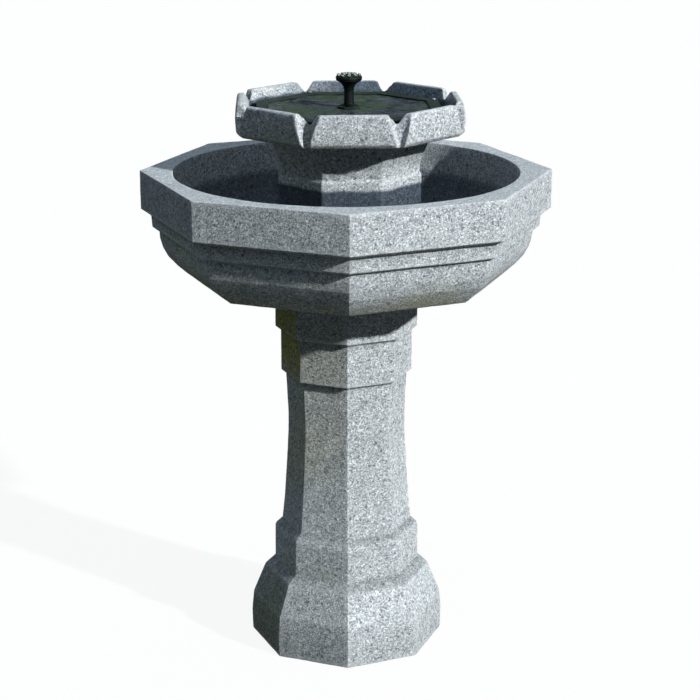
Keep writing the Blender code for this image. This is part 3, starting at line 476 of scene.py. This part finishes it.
def granite(name):
    """Cast stone with a granite face mix: grey grains, a few white and dark specks, stains and wear, and
    painted shade in creases, under the crown and on faces turned from the key light.
    """
    look = Look(name, specular=0.3)
    drift = look.node(
        "ShaderNodeTexNoise", {"Vector": look.place, "Scale": 240.0, "Detail": 2.0}
    ).outputs["Color"]
    shifted = look.node(
        "ShaderNodeVectorMath", {0: drift, 1: (0.003, 0.003, 0.003)}, operation="MULTIPLY"
    ).outputs[0]
    warped = look.node("ShaderNodeVectorMath", {0: look.place, 1: shifted}).outputs[0]
    _, coarse = look.cells(380.0, warped)
    near, fine = look.cells(640.0, warped)
    grain = look.ramp(
        fine,
        [
            (0.0, (0.12, 0.138, 0.150)),
            (0.3, (0.27, 0.30, 0.316)),
            (0.65, (0.455, 0.493, 0.511)),
            (1.0, (0.78, 0.82, 0.84)),
        ],
    )
    speck = look.ramp(coarse, [(0.12, 0.9), (0.22, 0.0)])
    body = look.mix(speck, grain, (0.13, 0.143, 0.157))
    chip = look.ramp(coarse, [(0.82, 0.0), (0.92, 0.8)])
    body = look.mix(chip, body, (0.76, 0.80, 0.815))
    mottle = look.ramp(look.noise(60.0, 6.0, 0.7), [(0.25, 0.84), (0.75, 1.12)])
    body = look.mix(1.0, body, mottle, "MULTIPLY")
    broad = look.ramp(look.noise(5.0, 3.0), [(0.3, 0.93), (0.7, 1.07)])
    body = look.mix(1.0, body, broad, "MULTIPLY")
    rubbed = look.calc("MULTIPLY", look.attribute("rubbed"), 0.3)
    body = look.mix(rubbed, body, (0.46, 0.495, 0.515))

    # Moss, and painted shade tinted olive on the faces turned from the key light.
    patchy = look.ramp(look.noise(18.0, 5.0, 0.7), [(0.3, 0.65), (0.6, 1.0)])
    moss_and_shade = look.calc("MULTIPLY", look.attribute("moss_and_shade"), patchy)
    moss_and_shade_colour = look.mix(1.0, body, (0.80, 0.73, 0.16), "MULTIPLY")
    body = look.mix(moss_and_shade, body, moss_and_shade_colour)
    # Darkening: painted shade on faces turned from the key light, under the crown and on downward faces;
    # darker ledges, foot and wet neck too.
    grime_and_shade = look.calc("MULTIPLY", look.attribute("grime_and_shade"), 0.8)
    body = look.mix(grime_and_shade, body, look.mix(1.0, body, (0.46, 0.47, 0.45), "MULTIPLY"))
    # Creases darkened: painted shade with some dirt.
    creased = look.calc("MULTIPLY", look.attribute("crease_dirt_and_shade"), 0.45)
    body = look.mix(creased, body, (0.05, 0.055, 0.05))
    worn = look.calc("MULTIPLY", look.attribute("worn"), look.noise(70.0, 3.0))
    body = look.mix(worn, body, (0.64, 0.675, 0.69))
    # Wet stone below the water lines; on the crown's shaded walls this is painted shade drawn as wet
    # stone.
    wet_and_shade = look.attribute("wet_and_shade")
    body = look.mix(wet_and_shade, body, look.mix(1.0, body, (0.14, 0.18, 0.235), "MULTIPLY"))
    look.put("Base Color", body)
    rough = look.ramp(look.noise(300.0, 2.0), [(0.3, 0.72), (0.7, 0.92)])
    look.put("Roughness", look.mix(wet_and_shade, rough, (0.25, 0.25, 0.25)))
    pits = look.ramp(near, [(0.0, 1.0), (0.5, 0.0)])
    look.bump(look.noise(480.0, 5.0, 0.75), 2.0 * MM, 0.85)
    look.bump(pits, 0.4 * MM, 0.5)
    return look.material


def moulded(name, colour, rough, dust=0.08, grain=1500.0, specular=0.45):
    """Injection-moulded plastic or rubber: a fine spark-eroded grain, faint blotches and dust."""
    look = Look(name, specular=specular)
    blotch = look.noise(45.0, 4.0)
    lighter = tuple(min(1.0, c * 1.5 + 0.012) for c in colour)
    body = look.mix(look.ramp(blotch, [(0.4, 0.0), (0.8, 1.0)]), colour, lighter)
    powder = look.ramp(look.noise(150.0, 5.0, 0.75), [(0.5, 0.0), (0.8, 1.0)])
    film = look.calc("MULTIPLY", powder, dust)
    look.put("Base Color", look.mix(film, body, (0.42, 0.42, 0.38)))
    look.put("Roughness", look.ramp(look.noise(90.0, 3.0), [(0.3, rough - 0.08), (0.7, rough + 0.1)]))
    look.bump(look.noise(grain, 2.0), 0.06 * MM, 0.5)
    return look.material


def board():
    """Green solder mask with copper runs showing through it."""
    look = Look("circuit_board", roughness=0.35)
    runs = look.calc(
        "MULTIPLY",
        look.ramp(look.waves(90.0, "X"), [(0.55, 0.0), (0.62, 1.0)]),
        look.ramp(look.noise(40.0, 0.0), [(0.48, 0.0), (0.5, 1.0)]),
    )
    body = look.mix(look.noise(60.0), (0.012, 0.055, 0.028), (0.02, 0.085, 0.042))
    look.put("Base Color", look.mix(runs, body, (0.045, 0.15, 0.06)))
    look.put("Roughness", look.ramp(look.noise(200.0), [(0.3, 0.28), (0.7, 0.45)]))
    look.bump(runs, 0.03 * MM)
    return look.material


def ferrite():
    look = Look("ferrite", roughness=0.55)
    speckle = look.noise(1800.0, 3.0, 0.8)
    look.put("Base Color", look.ramp(speckle, [(0.3, (0.022, 0.022, 0.025)), (0.8, (0.10, 0.10, 0.11))]))
    look.put("Roughness", look.ramp(speckle, [(0.3, 0.45), (0.7, 0.7)]))
    look.bump(speckle, 0.04 * MM)
    return look.material


def steel():
    look = Look("stainless_steel", metallic=1.0)
    brushed = look.noise(260.0, 4.0, 0.6, look.moved((1, 12, 12)))
    look.put("Base Color", look.ramp(brushed, [(0.3, (0.42, 0.43, 0.45)), (0.7, (0.66, 0.67, 0.69))]))
    look.put("Roughness", look.ramp(brushed, [(0.3, 0.22), (0.7, 0.42)]))
    look.bump(brushed, 0.02 * MM)
    return look.material


def copper():
    """Enamelled wire wound in close turns."""
    look = Look("enamelled_copper", metallic=0.85)
    turns = look.waves(520.0, "Y", distort=0.4)
    look.put("Base Color", look.ramp(turns, [(0.0, (0.16, 0.045, 0.012)), (0.6, (0.62, 0.22, 0.07))]))
    look.put("Roughness", look.ramp(look.noise(300.0), [(0.3, 0.25), (0.7, 0.42)]))
    look.bump(turns, 0.12 * MM)
    return look.material


def ceramic():
    look = Look("ceramic", roughness=0.25)
    mottle = look.noise(500.0, 4.0)
    look.put("Base Color", look.ramp(mottle, [(0.3, (0.72, 0.70, 0.65)), (0.7, (0.84, 0.83, 0.79))]))
    look.put("Roughness", look.ramp(mottle, [(0.3, 0.18), (0.7, 0.34)]))
    look.bump(mottle, 0.01 * MM)
    return look.material


def silicon(turn):
    """A solar cell: blue-black silicon with fine silver fingers across it."""
    look = Look("solar_cell", roughness=0.25)
    lined_up = look.moved(turn=-turn)
    fingers = look.ramp(look.waves(80.0, "Y", lined_up), [(0.955, 0.0), (0.985, 1.0)])
    crystal = look.noise(28.0, 5.0, 0.6, lined_up)
    body = look.ramp(crystal, [(0.3, (0.006, 0.010, 0.030)), (0.7, (0.016, 0.028, 0.075))])
    look.put("Base Color", look.mix(fingers, body, (0.28, 0.29, 0.31)))
    look.put("Roughness", look.ramp(crystal, [(0.3, 0.16), (0.7, 0.34)]))
    look.bump(fingers, 0.03 * MM)
    return look.material


def solder():
    look = Look("tinned_ribbon", metallic=1.0)
    ripple = look.noise(700.0, 3.0)
    look.put("Base Color", look.ramp(ripple, [(0.3, (0.44, 0.45, 0.46)), (0.7, (0.62, 0.63, 0.64))]))
    look.put("Roughness", look.ramp(ripple, [(0.3, 0.28), (0.7, 0.5)]))
    look.bump(ripple, 0.02 * MM)
    return look.material


def window():
    """A clear pane under old water: patches of green algae, grey silt and dried splashes."""
    look = Look("clear_window", roughness=0.12, specular=0.15)
    splash, _ = look.cells(95.0)
    rings = look.ramp(splash, [(0.30, 0.0), (0.38, 0.5), (0.44, 0.0)])
    silt = look.ramp(look.noise(34.0, 8.0, 0.75), [(0.40, 0.1), (0.72, 0.8)])
    algae = look.ramp(look.noise(13.0, 6.0, 0.7), [(0.43, 0.0), (0.54, 0.95)])
    dirt = look.calc("MAXIMUM", silt, algae)
    dirt = look.calc("ADD", dirt, look.calc("MULTIPLY", rings, 0.12), clamp=True)
    ripple = look.noise(80.0, 4.0, 0.7)
    film = look.ramp(ripple, [(0.35, (0.018, 0.024, 0.036)), (0.7, (0.12, 0.14, 0.165))])
    slime = look.ramp(ripple, [(0.35, (0.007, 0.020, 0.004)), (0.7, (0.036, 0.068, 0.018))])
    body = look.mix(algae, film, slime)
    look.put("Base Color", look.mix(rings, body, (0.13, 0.15, 0.15)))
    look.put("Roughness", look.ramp(dirt, [(0.0, 0.06), (0.6, 0.45)]))
    look.bump(silt, 0.15 * MM)
    clear = look.node("ShaderNodeBsdfTransparent", {"Color": (0.72, 0.82, 0.80)})
    sheen = look.node("ShaderNodeFresnel", {"IOR": 1.2}).outputs[0]
    shown = look.calc("ADD", sheen, dirt, clamp=True)
    both = look.node("ShaderNodeMixShader", {0: shown})
    look.tree.links.new(clear.outputs[0], both.inputs[1])
    look.tree.links.new(look.shader.outputs[0], both.inputs[2])
    surface = look.tree.nodes["Material Output"].inputs["Surface"]
    look.tree.links.new(both.outputs[0], surface)
    return look.material


# --- the castings -----------------------------------------------------------------------------


def shaded(obj, material, angle=30):
    if obj.data.materials:
        obj.data.materials.clear()
    obj.data.materials.append(material)
    obj.data.shade_smooth()
    obj.data.set_sharp_from_angle(angle=math.radians(angle))


def build_pedestal(stone):
    """The column. Its up-facing ledges and its foot are darker, its left side gets painted shade, and the
    left of its head gets moss and painted shade.
    """
    mesh = loft("pedestal_casting", PEDESTAL_PROFILE, per_face=15, closed=True)
    points, normals = points_of(mesh), normals_of(mesh)
    height = points[:, 2]
    left = facing_left(normals)
    head, base = ramped(height, *HEAD_MOSS_AND_SHADE), ramped(height, *BASE_LEFT_SHADE)
    weather(mesh, CASTING_EDGE, (1.1 * head + 0.1 * base) * left**3)
    # Up-facing ledges are darker.
    ledges = 0.8 * ramped(normals[:, 2], 0.4, 0.6)
    # Painted shade on the left faces of the base and head.
    sides = left * (0.8 * base + 1.6 * head * (1 - left))
    store(mesh, "grime_and_shade", np.maximum(ledges, 0.2 * ramped(height, *FOOT_DARKENING) + sides))
    pedestal = linked("pedestal_casting", mesh, "pedestal")
    shaded(pedestal, stone, angle=60)
    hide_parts("pedestal")


def build_bowl(stone):
    """The bowl: a rubbed rim, a little moss round its foot, painted shade on the left of its rim band,
    and a basin wet below its water line.
    """
    mesh = loft("bowl_casting", BOWL_PROFILE, per_face=40, closed=False)
    points, normals = points_of(mesh), normals_of(mesh)
    reach = np.hypot(points[:, 0], points[:, 1])
    outwards = (normals[:, :2] * points[:, :2]).sum(1) / np.maximum(reach, MM)
    height = points[:, 2]
    basin = (outwards < 0.3) & (normals[:, 2] > -0.2) & (height > BASIN_FLOOR)
    rim = (normals[:, 2] > 0.8) & (height > BOWL_RIM)
    left = facing_left(normals) * (height > BAND_TOP)
    weather(mesh, CASTING_EDGE, np.where(basin, -1, 0.15 * ramped(height, *BOWL_MOSS) - 0.3 * left))
    # Painted shade on the left-facing rim band.
    store(mesh, "grime_and_shade", 0.55 * left * ~basin)
    store(mesh, "wet_and_shade", 0.8 * wet_below(points, BOWL_WET_LINE, 10 * MM) * basin)
    store(mesh, "rubbed", rim.astype(float))
    bowl = linked("bowl_casting", mesh, "bowl")
    shaded(bowl, stone, angle=60)
    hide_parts("bowl")


def build_tier(stone):
    """The upper tier: the CAD shape remeshed finely, its crown's arrises rounded by hand tools."""
    mesh = frame["nodes"]["upper_tier"].data.copy()
    mesh.name = "tier_casting"
    tier = linked("tier_casting", mesh, "upper_tier")
    remesh = tier.modifiers.new("Remesh", "REMESH")
    remesh.mode = "VOXEL"
    remesh.voxel_size = TIER_VOXEL
    graph = bpy.context.evaluated_depsgraph_get()
    fine = bpy.data.meshes.new_from_object(tier.evaluated_get(graph))
    tier.modifiers.clear()
    tier.data = fine
    points, edges = points_of(fine), edges_of(fine)
    crown = ramped(points[:, 2], *CROWN_TOOLED)
    points = averaged(points, edges, rounds=3, strength=0.4)
    points = averaged(points, edges, rounds=6, strength=0.5 * crown)
    set_points(fine, points)
    normals, height = normals_of(fine), points[:, 2]
    low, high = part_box("upper_tier")
    across, along = points[:, 0] - (low.x + high.x) / 2, points[:, 1]
    reach = np.hypot(across, along)
    inwards = -(across * normals[:, 0] + along * normals[:, 1]) / reach
    in_crown = height > CROWN_FOOT
    basin = in_crown & (reach < CROWN_BASIN_REACH)
    # The inner faces of the crown's right and back walls face away from the key light and get painted
    # shade, drawn as wet stone.
    shaded_side = np.clip(0.55 + 1.1 * across / reach + 0.5 * along / reach, 0, 1)
    inner_wall_shade = ramped(inwards, 0.2, 0.2 + 1 / 3) * in_crown * (reach > CROWN_INNER_WALL_REACH)
    inner_wall_shade *= shaded_side
    weather(fine, TIER_EDGE, -0.15)
    wet = np.where(in_crown, wet_below(points, CROWN_WET_LINE) * basin, 0)
    wet += np.where(in_crown, 0, wet_below(points, NECK_WET_LINE))
    # Outer crown faces turned left get painted shade, drawn as wet stone.
    left_face_shade = 0.35 * np.clip(-1.6 * normals[:, 0], 0, 1) * in_crown * (inwards < 0)
    store(fine, "wet_and_shade", np.maximum(wet, np.maximum(inner_wall_shade, left_face_shade)))
    # Painted shade on the neck under the crown and on every downward face; the wet neck below its water
    # line is darker too.
    neck = 0.45 * np.maximum(ramped(height, *NECK_SHADE), wet) * ~in_crown
    store(fine, "grime_and_shade", np.maximum(neck, ramped(normals[:, 2], -0.5, -1)))
    store(fine, "rubbed", 0.7 * ((normals[:, 2] > 0.7) & (height > CROWN_RIM)))
    shaded(tier, stone, angle=60)
    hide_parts("upper_tier")


# --- the nozzle and the solar cells -----------------------------------------------------------


def spun(bm, outline, sides, place=Matrix(), flute=None):
    """Adds a ring-shaped solid turned about Z; flute(angle, height) scales its radius."""
    loops = []
    for radius, height in outline:
        ring = []
        for k in range(sides):
            angle = k * math.tau / sides
            r = radius * (flute(angle, height) if flute else 1)
            ring.append(bm.verts.new(place @ Vector((r * math.sin(angle), -r * math.cos(angle), height))))
        loops.append(ring)
    for lower, upper in zip(loops, loops[1:] + loops[:1]):
        for k in range(sides):
            bm.faces.new((lower[k], lower[(k + 1) % sides], upper[(k + 1) % sides], upper[k]))


def curve_through(points, steps=4):
    """A smooth line of (radius, height) pairs through the points."""
    line = []
    for k in range(len(points) - 1):
        before, start = Vector(points[max(k - 1, 0)]), Vector(points[k])
        end, after = Vector(points[k + 1]), Vector(points[min(k + 2, len(points) - 1)])
        for i in range(steps):
            t = i / steps
            place = start * (2 * t**3 - 3 * t**2 + 1) + end * (3 * t**2 - 2 * t**3)
            place += (end - before) * 0.5 * (t**3 - 2 * t**2 + t)
            place += (after - start) * 0.5 * (t**3 - t**2)
            line.append(place)
    line.append(Vector(points[-1]))
    return [(p.x * MM, p.y * MM) for p in line]


def build_nozzle(plastic, limed):
    """The spray head: a trumpet with a ribbed grip, and a domed rose with a collar round each jet."""
    low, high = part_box("nozzle_body")
    middle = Vector(((low.x + high.x) / 2, (low.y + high.y) / 2, high.z))
    length = (high.z - low.z) / MM
    place = Matrix.Translation(middle)
    grip = [(7.1, -length), (7.2, 0.4 - length), (7.2, 3 - length), (6.7, 4 - length)]
    def ribs(angle, height):
        gripped = 0.2 * MM < height + length * MM < GRIP_HEIGHT * MM
        return 1 - 0.035 * gripped * (0.5 + 0.5 * math.cos(GRIP_RIBS * angle))

    body = bmesh.new()
    throat = THROAT + [(BORE_RADIUS, -length)]
    outline = curve_through(grip + TRUMPET) + [(r * MM, z * MM) for r, z in throat]
    spun(body, outline, 96, flute=ribs)
    body.transform(place)
    nozzle = linked("nozzle_body_detail", mesh_from(body, "nozzle_body_detail"), "nozzle")
    shaded(nozzle, plastic, angle=40)
    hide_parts("nozzle_body")

    rose = bmesh.new()
    under = [(r * MM, z * MM) for r, z in ROSE_UNDER]
    spun(rose, curve_through(ROSE_BEAD + ROSE_DOME) + under, 72)
    plain_faces = len(rose.faces)
    collar = [(r * MM, z * MM) for r, z in COLLAR]
    for count, radius, height, lean in COLLAR_RINGS:
        for k in range(count):
            spot = Matrix.Rotation(k * math.tau / count, 4, "Z")
            spot = spot @ Matrix.Translation((0, -radius * MM, height * MM))
            spun(rose, collar, 20, spot @ Matrix.Rotation(lean, 4, "X"))
    rose.faces.ensure_lookup_table()
    for face in rose.faces[plain_faces:]:
        face.material_index = int(face.calc_center_median().z > LIMED_ABOVE)
    rose.transform(place)
    spray = linked("nozzle_rose_detail", mesh_from(rose, "nozzle_rose_detail"), "nozzle")
    shaded(spray, plastic, angle=40)
    spray.data.materials.append(limed)
    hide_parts("nozzle_rose")


def wafer(bm, centre, size, cut, low, high):
    """Adds one cell: a thin plate with its four corners cut off."""
    half = size / 2
    outline = []
    for sx, sy in ((1, 1), (-1, 1), (-1, -1), (1, -1)):
        pair = [(sx * half, sy * (half - cut)), (sx * (half - cut), sy * half)]
        outline += pair if sx * sy > 0 else pair[::-1]
    loops = [
        [bm.verts.new((centre[0] + x * k, centre[1] + y * k, z)) for x, y in outline]
        for k, z in ((1, low), (1, high - 0.08 * MM), (0.99, high))
    ]
    for lower, upper in zip(loops, loops[1:]):
        for k in range(len(outline)):
            bm.faces.new((lower[k], lower[(k + 1) % 8], upper[(k + 1) % 8], upper[k]))
    bm.faces.new(loops[0][::-1])
    bm.faces.new(loops[-1])


def build_cells(cell, ribbon):
    """Square cells on their pitch with cut corners, joined in strings by tinned ribbons."""
    low, high = (corner.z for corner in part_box("solar_cells"))
    turn = TIER_TURN + HALF_STEP
    bm = bmesh.new()
    columns = range(-CELL_REACH, CELL_REACH + 1)
    for column in columns:
        rows = min(CELL_REACH, CELL_REACH + 1 - abs(column))
        for row in range(-rows, rows + 1):
            if (column, row) != (0, 0):
                centre = (column * CELL_PITCH, row * CELL_PITCH)
                wafer(bm, centre, CELL_SIZE, CELL_CUT, low, high - 0.12 * MM)
    plates = len(bm.faces)
    for column in columns:
        rows = min(CELL_REACH, CELL_REACH + 1 - abs(column))
        reach = rows * CELL_PITCH + CELL_SIZE / 2 - 1 * MM
        clear = HUB_CLEARANCE if column == 0 else 0
        for x in (column * CELL_PITCH - RIBBON_OFFSET, column * CELL_PITCH + RIBBON_OFFSET):
            for start, end in ((-reach, -clear), (clear, reach)):
                middle, length = (start + end) / 2, end - start
                place = Matrix.Translation((x, middle, high - 0.08 * MM))
                place = place @ Matrix.Diagonal((RIBBON_WIDTH, length, RIBBON_THICKNESS, 1))
                bmesh.ops.create_cube(bm, size=1, matrix=place)
    bm.faces.ensure_lookup_table()
    for face in bm.faces[plates:]:
        face.material_index = 1
    middle = (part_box("nozzle_body")[0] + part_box("nozzle_body")[1]) / 2
    bm.transform(Matrix.Translation((middle.x, middle.y, 0)) @ Matrix.Rotation(turn, 4, "Z"))
    cells = linked("solar_cell_strings", mesh_from(bm, "solar_cell_strings"), "pump_unit")
    shaded(cells, cell)
    cells.data.materials.append(ribbon)
    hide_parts("solar_cells")


# --- the CAD nodes that stay ------------------------------------------------------------------


def finish_nodes(looks, sunken):
    """Gives every CAD node its material, and softens the edges of those that show."""
    for part in frame["record"]["subparts"]:
        name = part["node"]
        node = frame["nodes"][name]
        for place in node.material_slots:
            place.material = sunken if name in UNDER_WATER else looks[part["material_slot"]]
        if node.hide_render:
            continue
        low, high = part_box(name)
        weld = node.modifiers.new("Weld", "WELD")
        weld.merge_threshold = 0.01 * MM
        if name != "pump_cable":
            flat = node.modifiers.new("Flatten", "DECIMATE")
            flat.decimate_type = "DISSOLVE"
            flat.angle_limit = math.radians(1)
            bevel = node.modifiers.new("Soften", "BEVEL")
            bevel.width = min(0.5 * MM, 0.14 * min(high - low))
            bevel.segments = 2
            bevel.limit_method = "ANGLE"
            bevel.angle_limit = math.radians(35)
        even = node.modifiers.new("Even", "WEIGHTED_NORMAL")
        even.weight = 60


# --- stage, lights and camera -----------------------------------------------------------------


def glow(name, level, grey=None):
    """The studio's pale surface: mostly its own even light, with a share of what falls on it."""
    look = Look(name, roughness=1.0, specular=0.0)
    look.put("Base Color", (grey or 0.0,) * 3)
    look.put("Emission Color", (1.0, 1.0, 1.0))
    look.put("Emission Strength", level)
    return look.material


def build_stage():
    """A pale floor that runs up into a pale wall, seen by the camera alone so that it lights nothing."""
    bm = bmesh.new()
    angles = [k * math.tau / STUDIO_SIDES for k in range(STUDIO_SIDES)]
    rings = []
    for radius, height in STUDIO:
        ring = [bm.verts.new((radius * math.cos(a), radius * math.sin(a), height)) for a in angles]
        rings.append(ring)
    for inner, outer in zip(rings, rings[1:]):
        for k in range(STUDIO_SIDES):
            after = (k + 1) % STUDIO_SIDES
            bm.faces.new((inner[k], outer[k], outer[after], inner[after]))
    mesh = bpy.data.meshes.new("studio")
    bm.to_mesh(mesh)
    bm.free()
    mesh.materials.append(glow("studio_floor", 0.91, 0.065))
    mesh.materials.append(glow("studio_wall", 0.985))
    for face in mesh.polygons:
        face.material_index = int(face.center.xy.length > STUDIO_FLOOR_REACH)
    mesh.shade_smooth()
    studio = bpy.data.objects.new("studio", mesh)
    bpy.context.scene.collection.objects.link(studio)
    studio.visible_diffuse = False
    studio.visible_glossy = False
    studio.visible_shadow = False


def add_sun(name, azimuth, elevation, strength, softness, colour):
    """A sun at an azimuth from the camera's side towards the right, both angles in degrees."""
    a, e = math.radians(azimuth), math.radians(elevation)
    towards = Vector((math.sin(a) * math.cos(e), -math.cos(a) * math.cos(e), math.sin(e)))
    data = bpy.data.lights.new(name, "SUN")
    data.energy = strength
    data.angle = math.radians(softness)
    data.color = colour
    lamp = bpy.data.objects.new(name, data)
    lamp.rotation_euler = towards.to_track_quat("Z", "Y").to_euler()
    bpy.context.scene.collection.objects.link(lamp)


def build_lights():
    for sun in SUNS:
        add_sun(*sun)
    world = bpy.data.worlds.new("studio_fill")
    world.use_nodes = True
    fill = world.node_tree.nodes["Background"]
    fill.inputs["Color"].default_value = FILL_COLOUR
    fill.inputs["Strength"].default_value = FILL_STRENGTH
    bpy.context.scene.world = world


def build_camera():
    data = bpy.data.cameras.new("camera")
    data.lens = CAMERA_LENS
    data.sensor_width = 36
    camera = bpy.data.objects.new("camera", data)
    camera.location = CAMERA_PLACE
    camera.rotation_euler = CAMERA_TURN
    bpy.context.scene.collection.objects.link(camera)
    bpy.context.scene.camera = camera


def main():
    bpy.context.scene.view_settings.view_transform = "Standard"
    stone = granite("cast_stone")
    looks = {
        "cast_stone": stone,
        "black_plastic": moulded("black_plastic", (0.002, 0.005, 0.005), 0.55, 0.015, specular=0.12),
        "grey_plastic": moulded("grey_plastic", (0.20, 0.21, 0.22), 0.45),
        "white_plastic": moulded("white_plastic", (0.66, 0.66, 0.62), 0.40),
        "black_rubber": moulded("black_rubber", (0.016, 0.016, 0.016), 0.72, 0.14, 2600.0),
        "clear_window": window(),
        "solar_cell": silicon(TIER_TURN + HALF_STEP),
        "circuit_board": board(),
        "ferrite": ferrite(),
        "stainless_steel": steel(),
        "enamelled_copper": copper(),
        "ceramic": ceramic(),
    }
    build_pedestal(stone)
    build_bowl(stone)
    build_tier(stone)
    build_nozzle(looks["black_plastic"], moulded("limed_plastic", (0.15, 0.185, 0.16), 0.5, 0.25))
    build_cells(looks["solar_cell"], solder())
    finish_nodes(looks, moulded("sunken_plastic", (0.012, 0.020, 0.014), 0.6, 0.05, specular=0.12))
    build_stage()
    build_lights()
    build_camera()
    bpy.context.view_layer.update()


main()
